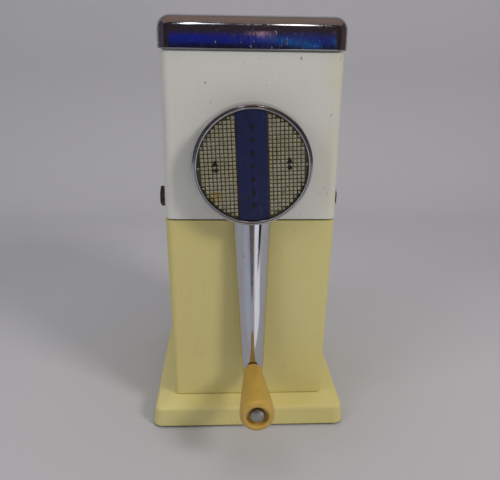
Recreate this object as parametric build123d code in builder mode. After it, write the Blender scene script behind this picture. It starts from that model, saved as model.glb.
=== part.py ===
from build123d import *
import os
from math import sin, cos, radians, sqrt, pi

os.makedirs("parts", exist_ok=True)

# ---------------------------------------------------------------- dimensions (mm)
# Frame: origin at the centre of the footprint on the table, +X to the right,
# +Y towards the back, +Z up. The crank is on the front, which faces -Y.
hx, hy = 50.0, 57.0            # half width and half depth of the white head
corner_r = 5.0                 # vertical corner radius of head, cup and column
base_hx, base_hy = 60.9, 69.5  # half width and half depth of the flared base
base_r = 6.5                   # plan corner radius of the base
z_under = 1.2                  # underside of the base skirt above the table
z_edge = 13.3                  # height of the rounded edge of the base
z_plateau = 15.6               # level on which the cup and the column stand
cup_gap = 0.2                  # sliding gap under the cup
z_cup_top = 133.0
z_head = 133.8                 # underside of the head
z_shoulder = 226.8             # top of the full width head wall
z_rim = 232.0                  # top of the stepped-in head rim
z_lid0, z_lid1 = 227.8, 245.2  # bottom of the lid skirt, top of the lid
lid_hx, lid_hy = 51.5, 58.5    # half width and half depth of the lid
lid_t = 1.2                    # lid sheet
wall = 2.5                     # head and column wall
cup_wall = 2.4
z_axis = 167.1                 # height of the crank axis
crank_l = 124.8                # crank axis to knob axis
crank_tilt = 0.8               # the arm hangs this many degrees off the vertical
dial_r = 33.15
dial_turn = 1.9                 # the dial plate sits a little askew in its cup, degrees
ch_y0, ch_y1 = -43.0, 40.0     # inside faces of the crushing chamber's end walls
blade_pitch = 12.0
blade_y = [-31.5 + blade_pitch * i for i in range(6)]
fine_y = [-37.5 + blade_pitch * i for i in range(7)]
coarse_y = [-37.5, -13.5, 10.5, 34.5]
bolt_y = [-27.0, 24.0]         # comb bolts on each side
bolt_z = 141.0
hinge_y, hinge_z = 60.2, 225.0
pin_r = 1.0
column_screw_x = [-30.0, 30.0]
column_screw_y = 50.25
rib_y, rib_w = -8.0, 4.0       # guide rib under the cup

# planes that face forward, measured outward from the front wall of the head,
# turned with the crank
t = radians(crank_tilt)
front = Plane(origin=(0, -hy, z_axis), x_dir=(cos(t), 0, sin(t)), z_dir=(0, -1, 0))
knob_front = Plane(origin=(crank_l * sin(t), -hy, z_axis - crank_l * cos(t)),
                   x_dir=(cos(t), 0, sin(t)), z_dir=(0, -1, 0))
# half planes through an axis, for turned parts: local x is the radius, local y runs forward
turn_plane = Plane(origin=(0, -hy, z_axis), x_dir=(1, 0, 0), z_dir=(0, 0, -1))
turn_axis = Axis((0, -hy, z_axis), (0, -1, 0))
knob_o = knob_front.origin
knob_turn = Plane(origin=knob_o, x_dir=(1, 0, 0), z_dir=(0, 0, -1))
knob_axis = Axis(knob_o, (0, -1, 0))

# ---------------------------------------------------------------- base
with BuildPart() as base:
    with BuildSketch(Plane.XY.offset(z_under)):
        RectangleRounded(2 * base_hx, 2 * base_hy, base_r)
    with BuildSketch(Plane.XY.offset(z_edge)):
        RectangleRounded(2 * (base_hx - 1.5), 2 * (base_hy - 1.5), base_r - 0.7)
    loft(ruled=True)
    with BuildSketch(Plane.XY.offset(z_edge)):
        RectangleRounded(2 * (base_hx - 1.5), 2 * (base_hy - 1.5), base_r - 0.7)
    with BuildSketch(Plane.XY.offset(z_plateau)):
        with Locations((0, 0.8)):
            RectangleRounded(2 * 48.2, 2 * 57.0, 5.0)
    loft(ruled=True)
    outer_edge = base.edges().filter_by_position(Axis.Z, z_edge - 0.05, z_edge + 0.05)
    fillet(outer_edge, 2.6)
    bottom_edge = base.edges().filter_by_position(Axis.Z, z_under - 0.05, z_under + 0.05)
    fillet(bottom_edge, 0.9)
    # underside pocket
    with BuildSketch(Plane.XY.offset(z_under)):
        RectangleRounded(2 * 51.5, 2 * 59.5, 3.0)
    extrude(amount=11.0, mode=Mode.SUBTRACT)
    # groove for the foot ring
    with BuildSketch(Plane.XY.offset(z_under)):
        RectangleRounded(2 * 58.6, 2 * 67.2, 5.0)
        RectangleRounded(2 * 53.6, 2 * 62.2, 3.0, mode=Mode.SUBTRACT)
    extrude(amount=2.0, mode=Mode.SUBTRACT)
    # bosses for the bottom plate screws
    with BuildSketch(Plane.XY.offset(4.6)):
        with GridLocations(80, 96, 2, 2):
            Circle(4.5)
    extrude(until=Until.NEXT)
    with BuildSketch(Plane.XY.offset(4.6)):
        with GridLocations(80, 96, 2, 2):
            Circle(1.5)
    extrude(amount=6.4, mode=Mode.SUBTRACT)
    # clearance holes for the column screws
    with BuildSketch(Plane.XY.offset(12.0)):
        with Locations(*[(x, column_screw_y) for x in column_screw_x]):
            Circle(2.2)
    extrude(amount=5.0, mode=Mode.SUBTRACT)
    # guide rib that keeps the cup straight
    with BuildSketch(Plane.XY.offset(z_plateau - 0.2)):
        with Locations((0.0, rib_y)):
            Rectangle(88.0, rib_w)
    extrude(amount=1.8)
base.part.label = "base"
export_step(base.part, "parts/base.step")

with BuildPart() as foot_ring:
    with BuildSketch(Plane.XY):
        RectangleRounded(2 * 58.4, 2 * 67.0, 4.8)
        RectangleRounded(2 * 53.8, 2 * 62.4, 3.2, mode=Mode.SUBTRACT)
    extrude(amount=3.1)
foot_ring.part.label = "foot_ring"
export_step(foot_ring.part, "parts/foot_ring.step")

with BuildPart() as bottom_plate:
    with BuildSketch(Plane.XY.offset(3.0)):
        RectangleRounded(2 * 51.2, 2 * 59.2, 2.8)
        with GridLocations(80, 96, 2, 2):
            Circle(1.7, mode=Mode.SUBTRACT)
    extrude(amount=1.5)
bottom_plate.part.label = "bottom_plate"
export_step(bottom_plate.part, "parts/bottom_plate.step")

with BuildPart() as bottom_plate_screws:
    with BuildSketch(Plane.XY.offset(1.3)):
        with GridLocations(80, 96, 2, 2):
            Circle(2.9)
    extrude(amount=1.65)
    with BuildSketch(Plane.XY.offset(2.9)):
        with GridLocations(80, 96, 2, 2):
            Circle(1.4)
    extrude(amount=7.6)
    with BuildSketch(Plane.XY.offset(1.3)):
        with GridLocations(80, 96, 2, 2):
            Rectangle(4.4, 0.8)
    extrude(amount=0.7, mode=Mode.SUBTRACT)
bottom_plate_screws.part.label = "bottom_plate_screws"
export_step(bottom_plate_screws.part, "parts/bottom_plate_screws.step")

# ---------------------------------------------------------------- rear column
with BuildPart() as rear_column:
    with BuildSketch(Plane.XY.offset(z_plateau)) as col_lo:
        with Locations((0, 50.25)):
            Rectangle(2 * 47.5, 13.5)
        fillet(col_lo.vertices().group_by(Axis.Y)[-1], corner_r)
        fillet(col_lo.vertices().group_by(Axis.Y)[0], 0.8)
    with BuildSketch(Plane.XY.offset(z_head)) as col_hi:
        with Locations((0, 50.25)):
            Rectangle(2 * hx, 13.5)
        fillet(col_hi.vertices().group_by(Axis.Y)[-1], corner_r)
        fillet(col_hi.vertices().group_by(Axis.Y)[0], 0.8)
    loft(ruled=True)
    with BuildSketch(Plane.XY.offset(z_plateau + 3.0)):
        with Locations((0, 50.25)):
            RectangleRounded(2 * 45.0, 8.5, 2.0)
    with BuildSketch(Plane.XY.offset(z_head)):
        with Locations((0, 50.25)):
            RectangleRounded(2 * (hx - wall), 8.5, 2.0)
    loft(ruled=True, mode=Mode.SUBTRACT)
    # screw bosses, full height
    with BuildSketch(Plane.XY.offset(z_plateau + 1.0)):
        with Locations(*[(x, column_screw_y) for x in column_screw_x]):
            Circle(5.0)
    extrude(amount=z_head - z_plateau - 1.0)
    with BuildSketch(Plane.XY.offset(z_plateau)):
        with Locations(*[(x, column_screw_y) for x in column_screw_x]):
            Circle(2.0)
    extrude(amount=16.0, mode=Mode.SUBTRACT)
    with BuildSketch(Plane.XY.offset(z_head)):
        with Locations(*[(x, column_screw_y) for x in column_screw_x]):
            Circle(2.0)
    extrude(amount=-18.0, mode=Mode.SUBTRACT)
rear_column.part.label = "rear_column"
export_step(rear_column.part, "parts/rear_column.step")

with BuildPart() as column_screws:
    with BuildSketch(Plane.XY.offset(9.5)):
        with Locations(*[(x, column_screw_y) for x in column_screw_x]):
            Circle(4.0)
    extrude(amount=2.65)
    with BuildSketch(Plane.XY.offset(12.0)):
        with Locations(*[(x, column_screw_y) for x in column_screw_x]):
            Circle(1.9)
    extrude(amount=17.0)
    with BuildSketch(Plane.XY.offset(9.5)):
        with Locations(*[(x, column_screw_y) for x in column_screw_x]):
            Rectangle(6.0, 1.1)
    extrude(amount=1.2, mode=Mode.SUBTRACT)
column_screws.part.label = "column_screws"
export_step(column_screws.part, "parts/column_screws.step")

# ---------------------------------------------------------------- head
with BuildPart() as head_shell:
    with BuildSketch(Plane.XY.offset(z_head)):
        RectangleRounded(2 * hx, 2 * hy, corner_r)
    extrude(amount=z_shoulder - z_head)
    fillet(head_shell.edges().filter_by_position(Axis.Z, z_shoulder - 0.05, z_shoulder + 0.05), 0.7)
    fillet(head_shell.edges().filter_by_position(Axis.Z, z_head - 0.05, z_head + 0.05), 0.5)
    with BuildSketch(Plane.XY.offset(z_shoulder - 1.0)):
        RectangleRounded(2 * 48.6, 2 * 55.6, 4.0)
    extrude(amount=z_rim - z_shoulder + 1.0)
    with BuildSketch(Plane.XY.offset(z_head)):
        RectangleRounded(2 * (hx - wall), 2 * (hy - wall), 3.0)
    extrude(amount=z_rim - z_head, mode=Mode.SUBTRACT)
    # ledge at the back that sits on the column
    with BuildSketch(Plane.XY.offset(z_head)):
        with Locations((0, 49.3)):
            Rectangle(2 * (hx - wall) + 0.6, 11.4)
    extrude(amount=3.5)
    with BuildSketch(Plane.XY.offset(z_head)):
        with Locations(*[(x, column_screw_y) for x in column_screw_x]):
            Circle(2.2)
    extrude(amount=4.0, mode=Mode.SUBTRACT)
    # hole for the front bearing
    with BuildSketch(front.offset(1.0)):
        Circle(9.05)
    extrude(amount=-6.0, mode=Mode.SUBTRACT)
    # holes for the comb bolts
    with BuildSketch(Plane.YZ.offset(-hx - 1.0)):
        with Locations(*[(y, bolt_z) for y in bolt_y]):
            Circle(3.4)
    extrude(amount=2 * hx + 2.0, mode=Mode.SUBTRACT)
    # holes for the hinge rivets
    with BuildSketch(Plane.XZ.offset(-hy - 1.0)):
        with Locations((-22, 211), (0, 211), (22, 211)):
            Circle(1.5)
    extrude(amount=6.0, mode=Mode.SUBTRACT)
head_shell.part.label = "head_shell"
export_step(head_shell.part, "parts/head_shell.step")

with BuildPart() as head_screws:
    with BuildSketch(Plane.XY.offset(z_head + 3.55)):
        with Locations(*[(x, column_screw_y) for x in column_screw_x]):
            Circle(4.0)
    extrude(amount=2.6)
    with BuildSketch(Plane.XY.offset(z_head + 3.6)):
        with Locations(*[(x, column_screw_y) for x in column_screw_x]):
            Circle(1.9)
    extrude(amount=-20.0)
    with BuildSketch(Plane.XY.offset(z_head + 6.15)):
        with Locations(*[(x, column_screw_y) for x in column_screw_x]):
            Rectangle(6.0, 1.1)
    extrude(amount=-1.2, mode=Mode.SUBTRACT)
head_screws.part.label = "head_screws"
export_step(head_screws.part, "parts/head_screws.step")

# ---------------------------------------------------------------- crushing chamber
with BuildPart() as crusher_frame:
    with BuildSketch(Plane.XY.offset(135.6)):
        with Locations((0, (ch_y0 + ch_y1) / 2)):
            Rectangle(94.8, ch_y1 - ch_y0 + 6.0)
            Rectangle(88.8, ch_y1 - ch_y0, mode=Mode.SUBTRACT)
    extrude(amount=61.4)
    with BuildSketch(front.offset(-2.6)):
        Circle(12.0)
    extrude(amount=-9.4)
    with BuildSketch(front.offset(-2.6)):
        Circle(9.05)
    extrude(amount=-12.0, mode=Mode.SUBTRACT)
    with BuildSketch(front.offset(-96.0)):
        Circle(7.05)
    extrude(amount=-6.0, mode=Mode.SUBTRACT)
    with BuildSketch(Plane.YZ.offset(-50.0)):
        with Locations(*[(y, bolt_z) for y in bolt_y]):
            Circle(3.4)
    extrude(amount=100.0, mode=Mode.SUBTRACT)
crusher_frame.part.label = "crusher_frame"
export_step(crusher_frame.part, "parts/crusher_frame.step")

with BuildPart() as front_bearing:
    with BuildSketch(turn_plane) as fb:
        with BuildLine():
            Polyline((7.05, 1.0), (11.2, 1.0), (11.5, 0.7), (11.5, 0.02), (9.0, 0.02), (9.0, -14.0), (7.05, -14.0), close=True)
        make_face()
    revolve(axis=turn_axis)
front_bearing.part.label = "front_bearing"
export_step(front_bearing.part, "parts/front_bearing.step")

with BuildPart() as rear_bearing:
    with BuildSketch(turn_plane):
        with BuildLine():
            Polyline((5.05, -97.0), (7.0, -97.0), (7.0, -100.05), (9.5, -100.05), (9.5, -102.0), (5.05, -102.0), close=True)
        make_face()
    revolve(axis=turn_axis)
rear_bearing.part.label = "rear_bearing"
export_step(rear_bearing.part, "parts/rear_bearing.step")

# combs: a flange bolted to the side wall, with tines that reach in between the blades
tine = [(43.0, 137.0), (43.0, 149.5), (17.2, 170.5), (14.9, 168.0), (15.6, 159.5), (35.0, 139.2)]
with BuildPart() as fine_comb:
    with BuildSketch(Plane.YZ.offset(-44.3)):
        with Locations((-1.5, 143.0)):
            Rectangle(79.0, 14.0)
        with Locations(*[(y, bolt_z) for y in bolt_y]):
            Circle(3.25, mode=Mode.SUBTRACT)
    extrude(amount=3.0)
    for y in fine_y:
        with BuildSketch(Plane.XZ.offset(-(y + 1.5))):
            with BuildLine():
                Polyline(*[(-a, b) for a, b in tine], close=True)
            make_face()
        extrude(amount=3.0)
    with BuildSketch(Plane.YZ.offset(-44.5)):
        with Locations(*[(y, bolt_z) for y in bolt_y]):
            Circle(3.25)
    extrude(amount=5.0, mode=Mode.SUBTRACT)
fine_comb.part.label = "fine_comb"
export_step(fine_comb.part, "parts/fine_comb.step")

with BuildPart() as coarse_comb:
    with BuildSketch(Plane.YZ.offset(41.3)):
        with Locations((-1.5, 143.0)):
            Rectangle(79.0, 14.0)
        with Locations(*[(y, bolt_z) for y in bolt_y]):
            Circle(3.25, mode=Mode.SUBTRACT)
    extrude(amount=3.0)
    for y in coarse_y:
        with BuildSketch(Plane.XZ.offset(-(y + 1.5))):
            with BuildLine():
                Polyline(*tine, close=True)
            make_face()
        extrude(amount=3.0)
    with BuildSketch(Plane.YZ.offset(39.5)):
        with Locations(*[(y, bolt_z) for y in bolt_y]):
            Circle(3.25)
    extrude(amount=5.0, mode=Mode.SUBTRACT)
coarse_comb.part.label = "coarse_comb"
export_step(coarse_comb.part, "parts/coarse_comb.step")

with BuildPart() as comb_bolts:
    for side in (-1, 1):
        with BuildSketch(Plane.YZ.offset(side * (hx + 1.25))):
            with Locations(*[(y, bolt_z) for y in bolt_y]):
                RegularPolygon(5.55, 6, major_radius=False, rotation=30)
        extrude(amount=side * 3.9)
        with BuildSketch(Plane.YZ.offset(side * (hx + 1.3))):
            with Locations(*[(y, bolt_z) for y in bolt_y]):
                Circle(3.17)
        extrude(amount=-side * 10.2)
    chamfer(comb_bolts.edges().filter_by_position(Axis.X, hx + 5.1, hx + 5.2), 0.5)
    chamfer(comb_bolts.edges().filter_by_position(Axis.X, -hx - 5.2, -hx - 5.1), 0.5)
comb_bolts.part.label = "comb_bolts"
export_step(comb_bolts.part, "parts/comb_bolts.step")

with BuildPart() as comb_washers:
    for side in (-1, 1):
        with BuildSketch(Plane.YZ.offset(side * (hx + 0.02))):
            with Locations(*[(y, bolt_z) for y in bolt_y]):
                Circle(6.3)
                Circle(3.4, mode=Mode.SUBTRACT)
        extrude(amount=side * 1.2)
comb_washers.part.label = "comb_washers"
export_step(comb_washers.part, "parts/comb_washers.step")

# ---------------------------------------------------------------- hopper
with BuildPart() as hopper:
    with BuildSketch(Plane.XY.offset(z_rim)):
        RectangleRounded(2 * 48.4, 2 * 55.4, 3.9)
    extrude(amount=1.6)
    with BuildSketch(Plane.XY.offset(197.6)):
        with Locations((0, -1.5)):
            RectangleRounded(2 * 31.8, 2 * 42.8, 4.0)
    with BuildSketch(Plane.XY.offset(z_rim + 0.4)):
        RectangleRounded(2 * 46.4, 2 * 53.4, 4.0)
    loft(ruled=True)
    with BuildSketch(Plane.XY.offset(197.6)):
        with Locations((0, -1.5)):
            RectangleRounded(2 * 30.0, 2 * 41.0, 2.4)
    with BuildSketch(Plane.XY.offset(z_rim + 1.6)):
        RectangleRounded(2 * 44.7, 2 * 51.7, 2.4)
    loft(ruled=True, mode=Mode.SUBTRACT)
hopper.part.label = "hopper"
export_step(hopper.part, "parts/hopper.step")

# ---------------------------------------------------------------- ice cup
with BuildPart() as ice_cup:
    with BuildSketch(Plane.XY.offset(z_plateau + cup_gap)):
        with Locations((0, -7.25)):
            RectangleRounded(2 * 47.5, 96.5, 3.2)
    with BuildSketch(Plane.XY.offset(z_cup_top)):
        with Locations((0, -7.25)):
            RectangleRounded(2 * hx, 99.5, corner_r)
    loft(ruled=True)
    fillet(ice_cup.edges().filter_by_position(Axis.Z, z_plateau + cup_gap - 0.05, z_plateau + cup_gap + 0.05), 0.6)
    with BuildSketch(Plane.XY.offset(z_plateau + 4.2)):
        with Locations((0, -7.25)):
            RectangleRounded(2 * (47.6 - cup_wall), 96.6 - 2 * cup_wall, corner_r - cup_wall + 0.6)
    with BuildSketch(Plane.XY.offset(z_cup_top)):
        with Locations((0, -7.25)):
            RectangleRounded(2 * (hx - cup_wall), 99.5 - 2 * cup_wall, corner_r - cup_wall + 0.6)
    loft(ruled=True, mode=Mode.SUBTRACT)
    # groove that runs over the guide rib: closed at the left, open at the right
    with BuildSketch(Plane.XY.offset(z_plateau)):
        with Locations((5.2, rib_y)):
            Rectangle(99.0, rib_w + 0.7)
    extrude(amount=2.1, mode=Mode.SUBTRACT)
ice_cup.part.label = "ice_cup"
export_step(ice_cup.part, "parts/ice_cup.step")

# ---------------------------------------------------------------- lid and hinge
with BuildPart() as lid:
    with BuildSketch(Plane.XY.offset(z_lid0)):
        RectangleRounded(2 * lid_hx, 2 * lid_hy, 7.5)
    extrude(amount=z_lid1 - z_lid0)
    fillet(lid.faces().sort_by(Axis.Z)[-1].edges(), 7.0)
    offset(amount=-lid_t, openings=lid.faces().sort_by(Axis.Z)[0])
    with BuildSketch(Plane.XZ.offset(-60.0)):
        with Locations((-20, 235.5), (0, 235.5), (20, 235.5)):
            Circle(1.5)
    extrude(amount=6.0, mode=Mode.SUBTRACT)
lid.part.label = "lid"
export_step(lid.part, "parts/lid.step")

with BuildPart() as hinge_leaf_body:
    with BuildSketch(Plane.YZ.offset(-30.0)):
        with BuildLine():
            Polyline((57.02, 205.0), (58.2, 205.0), (58.2, 221.4), (60.2, 222.9), (60.2, 225.0), (58.2, 225.6), (57.02, 224.6), close=True)
        make_face()
        with Locations((hinge_y, hinge_z)):
            Circle(2.2)
    extrude(amount=60.0)
    with BuildSketch(Plane.YZ.offset(-14.3)):
        with Locations((60.0, 224.6)):
            Rectangle(6.4, 6.6)
    extrude(amount=28.6, mode=Mode.SUBTRACT)
    with BuildSketch(Plane.YZ.offset(-31.0)):
        with Locations((hinge_y, hinge_z)):
            Circle(pin_r + 0.03)
    extrude(amount=62.0, mode=Mode.SUBTRACT)
    with BuildSketch(Plane.XZ.offset(-59.0)):
        with Locations((-22, 211), (0, 211), (22, 211)):
            Circle(1.5)
    extrude(amount=3.0, mode=Mode.SUBTRACT)
hinge_leaf_body.part.label = "hinge_leaf_body"
export_step(hinge_leaf_body.part, "parts/hinge_leaf_body.step")

with BuildPart() as hinge_leaf_lid:
    with BuildSketch(Plane.YZ.offset(-28.0)):
        with Locations((59.12, 235.0)):
            Rectangle(1.2, 13.6)
    extrude(amount=56.0)
    with BuildSketch(Plane.YZ.offset(-14.0)):
        with BuildLine():
            Polyline((58.52, 225.6), (58.52, 229.0), (59.72, 229.0), (62.0, 226.4), (60.2, 225.0), close=True)
        make_face()
        with Locations((hinge_y, hinge_z)):
            Circle(2.2)
    extrude(amount=28.0)
    with BuildSketch(Plane.YZ.offset(-31.0)):
        with Locations((hinge_y, hinge_z)):
            Circle(pin_r + 0.06)
    extrude(amount=62.0, mode=Mode.SUBTRACT)
    with BuildSketch(Plane.XZ.offset(-61.0)):
        with Locations((-20, 235.5), (0, 235.5), (20, 235.5)):
            Circle(1.5)
    extrude(amount=4.0, mode=Mode.SUBTRACT)
hinge_leaf_lid.part.label = "hinge_leaf_lid"
export_step(hinge_leaf_lid.part, "parts/hinge_leaf_lid.step")

with BuildPart() as hinge_pin:
    with BuildSketch(Plane.YZ.offset(-30.4)):
        with Locations((hinge_y, hinge_z)):
            Circle(pin_r)
    extrude(amount=60.8)
    chamfer(hinge_pin.faces().filter_by(Axis.X).edges(), 0.25)
hinge_pin.part.label = "hinge_pin"
export_step(hinge_pin.part, "parts/hinge_pin.step")

with BuildPart() as hinge_body_rivets:
    with BuildSketch(Plane.XZ.offset(-53.6)):
        with Locations((-22, 211), (0, 211), (22, 211)):
            Circle(2.3)
    extrude(amount=-0.85)
    with BuildSketch(Plane.XZ.offset(-54.0)):
        with Locations((-22, 211), (0, 211), (22, 211)):
            Circle(1.42)
    extrude(amount=-4.8)
    with BuildSketch(Plane.XZ.offset(-58.25)):
        with Locations((-22, 211), (0, 211), (22, 211)):
            Circle(2.6)
    extrude(amount=-1.2)
    fillet(hinge_body_rivets.edges().filter_by_position(Axis.Y, 59.4, 59.5), 0.9)
hinge_body_rivets.part.label = "hinge_body_rivets"
export_step(hinge_body_rivets.part, "parts/hinge_body_rivets.step")

with BuildPart() as hinge_lid_rivets:
    with BuildSketch(Plane.XZ.offset(-56.5)):
        with Locations((-20, 235.5), (0, 235.5), (20, 235.5)):
            Circle(2.2)
    extrude(amount=-0.75)
    with BuildSketch(Plane.XZ.offset(-57.0)):
        with Locations((-20, 235.5), (0, 235.5), (20, 235.5)):
            Circle(1.42)
    extrude(amount=-3.0)
    with BuildSketch(Plane.XZ.offset(-59.77)):
        with Locations((-20, 235.5), (0, 235.5), (20, 235.5)):
            Circle(2.4)
    extrude(amount=-1.1)
    fillet(hinge_lid_rivets.edges().filter_by_position(Axis.Y, 60.82, 60.92), 0.8)
hinge_lid_rivets.part.label = "hinge_lid_rivets"
export_step(hinge_lid_rivets.part, "parts/hinge_lid_rivets.step")

# ---------------------------------------------------------------- crank
def arm_width(l):
    return 21.5 - (l - 33.0) * 8.7 / 92.0

def arm_front(l):
    return 10.5 + (l - 33.0) * 5.2 / 91.8

def arm_back(l):
    return 3.0 + max(0.0, l - 33.0) * 6.0 / 91.8

def arm_plane(l):
    # normal to the arm: local x across the arm, local y forward
    o = (l * sin(t), -hy, z_axis - l * cos(t))
    return Plane(origin=o, x_dir=(cos(t), 0, sin(t)), z_dir=(-sin(t), 0, cos(t)))

with BuildPart() as crank_arm:
    with BuildSketch(turn_plane):
        with BuildLine():
            Polyline((0, 2.2), (33.4, 2.2), (34.0, 2.8), (34.0, 4.2), (33.3, 9.6), (32.6, 10.5), (0, 10.5), close=True)
        make_face()
    revolve(axis=turn_axis)
    for l in (24.0, 60.0, 95.0, 124.8):
        w, pf, pb = arm_width(l), arm_front(l), arm_back(l)
        with BuildSketch(arm_plane(l)):
            with BuildLine():
                Line((w / 2 - 1.0, -pb), (-w / 2 + 1.0, -pb))
                Line((-w / 2 + 1.0, -pb), (-w / 2, -pb - 1.2))
                Line((-w / 2, -pb - 1.2), (-w / 2, -pf + 3.2))
                ThreePointArc((-w / 2, -pf + 3.2), (0, -pf), (w / 2, -pf + 3.2))
                Line((w / 2, -pf + 3.2), (w / 2, -pb - 1.2))
                Line((w / 2, -pb - 1.2), (w / 2 - 1.0, -pb))
            make_face()
    loft(ruled=True)
    with BuildSketch(knob_front.offset(arm_back(crank_l))):
        Circle(6.4)
    extrude(amount=15.7 - arm_back(crank_l))
    # dish that hides the nut, keyed bore and spindle hole
    with BuildSketch(front.offset(6.2)):
        Circle(26.5)
    extrude(amount=8.0, mode=Mode.SUBTRACT)
    with BuildSketch(front.offset(1.0)) as keyed:
        Circle(5.55)
        Rectangle(8.6, 14.0, mode=Mode.INTERSECT)
    extrude(amount=8.0, mode=Mode.SUBTRACT)
    with BuildSketch(knob_front.offset(5.0)):
        Circle(3.05)
    extrude(amount=16.0, mode=Mode.SUBTRACT)
    with BuildSketch(knob_front.offset(5.0)):
        Circle(4.8)
    extrude(amount=4.0, mode=Mode.SUBTRACT)
crank_arm.part.label = "crank_arm"
export_step(crank_arm.part, "parts/crank_arm.step")

with BuildPart() as dial_bezel:
    with BuildSketch(turn_plane):
        with BuildLine():
            Polyline((28.5, 10.55), (32.7, 10.55), (dial_r, 11.1), (dial_r, 12.6), (32.9, 13.5), (32.4, 13.95),
                     (31.95, 13.8), (31.75, 13.35), (31.45, 13.35), (31.2, 14.0), (30.75, 14.0), (30.42, 13.4),
                     (30.42, 11.85), (28.5, 11.85), close=True)
        make_face()
    revolve(axis=turn_axis)
dial_bezel.part.label = "dial_bezel"
export_step(dial_bezel.part, "parts/dial_bezel.step")

with BuildPart() as dial_plate:
    with BuildSketch(front.offset(11.87)):
        Circle(30.35)
    extrude(amount=1.1)
dial_plate.part.label = "dial_plate"
export_step(dial_plate.part, "parts/dial_plate.step")

with BuildPart() as dial_stripe:
    with BuildSketch(front.offset(12.98)):
        Circle(30.2)
        Rectangle(16.5, 62.0, rotation=dial_turn, mode=Mode.INTERSECT)
    extrude(amount=0.5)
dial_stripe.part.label = "dial_stripe"
export_step(dial_stripe.part, "parts/dial_stripe.step")

# ---------------------------------------------------------------- shaft and rotor
with BuildPart() as drive_shaft:
    with BuildSketch(front.offset(2.2)):
        Circle(7.0)
    extrude(amount=-16.2)
    with BuildSketch(front.offset(2.2)):
        Circle(5.5)
        Rectangle(8.4, 14.0, mode=Mode.INTERSECT)
    extrude(amount=4.0)
    with BuildSketch(front.offset(6.2)):
        Circle(4.0)
    extrude(amount=5.2)
    with BuildSketch(front.offset(-14.0)):
        RegularPolygon(6.0, 6, major_radius=False)
    extrude(amount=-83.0)
    with BuildSketch(front.offset(-97.0)):
        Circle(5.0)
    extrude(amount=-9.0)
    with BuildSketch(front.offset(-102.3)):
        Circle(6.0)
        Circle(4.2, mode=Mode.SUBTRACT)
    extrude(amount=-1.1, mode=Mode.SUBTRACT)
    chamfer(drive_shaft.faces().sort_by(Axis.Y)[-1].edges(), 0.5)
drive_shaft.part.label = "drive_shaft"
export_step(drive_shaft.part, "parts/drive_shaft.step")

with BuildPart() as thrust_washer:
    with BuildSketch(front.offset(1.35)):
        Circle(11.0)
        Circle(7.1, mode=Mode.SUBTRACT)
    extrude(amount=0.82)
thrust_washer.part.label = "thrust_washer"
export_step(thrust_washer.part, "parts/thrust_washer.step")

with BuildPart() as shaft_washer:
    with BuildSketch(front.offset(6.22)):
        Circle(8.5)
        Circle(4.2, mode=Mode.SUBTRACT)
    extrude(amount=1.2)
shaft_washer.part.label = "shaft_washer"
export_step(shaft_washer.part, "parts/shaft_washer.step")

with BuildPart() as shaft_nut:
    with BuildSketch(front.offset(7.45)):
        RegularPolygon(6.5, 6, major_radius=False)
        Circle(4.05, mode=Mode.SUBTRACT)
    extrude(amount=3.6)
shaft_nut.part.label = "shaft_nut"
export_step(shaft_nut.part, "parts/shaft_nut.step")

with BuildPart() as retaining_ring:
    with BuildSketch(front.offset(-102.35)):
        Circle(7.2)
        Circle(4.25, mode=Mode.SUBTRACT)
        with Locations((0, -6.0)):
            Rectangle(4.6, 8.0, mode=Mode.SUBTRACT)
    extrude(amount=-1.0)
retaining_ring.part.label = "retaining_ring"
export_step(retaining_ring.part, "parts/retaining_ring.step")

with BuildPart() as rotor_blades:
    for i, y in enumerate(blade_y):
        with BuildSketch(front.offset(-hy - y + 1.5)):
            Circle(15.5)
            with PolarLocations(0, 4, start_angle=15.0 * i):
                Polygon((12.0, -6.4), (20.5, -4.6), (27.0, -1.2), (27.0, 1.2), (21.5, 3.6), (12.0, 6.4), align=None)
            RegularPolygon(6.1, 6, major_radius=False, mode=Mode.SUBTRACT)
        extrude(amount=-3.0)
rotor_blades.part.label = "rotor_blades"
export_step(rotor_blades.part, "parts/rotor_blades.step")

with BuildPart() as rotor_spacers:
    stops = [ch_y0 + 0.3] + [y for b in blade_y for y in (b - 1.5, b + 1.5)] + [ch_y1 - 0.3]
    for a, b in zip(stops[0::2], stops[1::2]):
        with BuildSketch(front.offset(-hy - a - 0.02)):
            Circle(11.5)
            RegularPolygon(6.1, 6, major_radius=False, mode=Mode.SUBTRACT)
        extrude(amount=-(b - a - 0.04))
rotor_spacers.part.label = "rotor_spacers"
export_step(rotor_spacers.part, "parts/rotor_spacers.step")

# ---------------------------------------------------------------- knob
with BuildPart() as knob_spindle:
    with BuildSketch(knob_turn):
        with BuildLine():
            Polyline((0, 7.8), (3.6, 7.8), (4.5, 8.3), (4.5, 8.95), (3.0, 8.95), (3.0, 59.2), (4.1, 59.2), (4.1, 60.1),
                     (3.6, 60.7), (2.6, 61.05), (1.4, 61.25), (0, 61.25), close=True)
        make_face()
    revolve(axis=knob_axis)
knob_spindle.part.label = "knob_spindle"
export_step(knob_spindle.part, "parts/knob_spindle.step")

with BuildPart() as knob:
    with BuildSketch(knob_turn):
        with BuildLine():
            k1 = Polyline((3.08, 16.1), (5.3, 16.1), (5.75, 16.6))
            k2 = Spline(k1 @ 1, (6.6, 26.0), (8.1, 42.0), (9.3, 55.5), tangents=[(0.04, 1), (0.03, 1)])
            k3 = ThreePointArc(k2 @ 1, (8.75, 60.2), (6.7, 61.9))
            Polyline(k3 @ 1, (6.2, 61.9), (5.9, 61.6), (5.9, 58.9), (3.08, 58.9), (3.08, 16.1))
        make_face()
    revolve(axis=knob_axis)
knob.part.label = "knob"
export_step(knob.part, "parts/knob.step")
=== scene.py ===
import math
import bpy
import bmesh
from mathutils import Matrix, Vector

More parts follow.
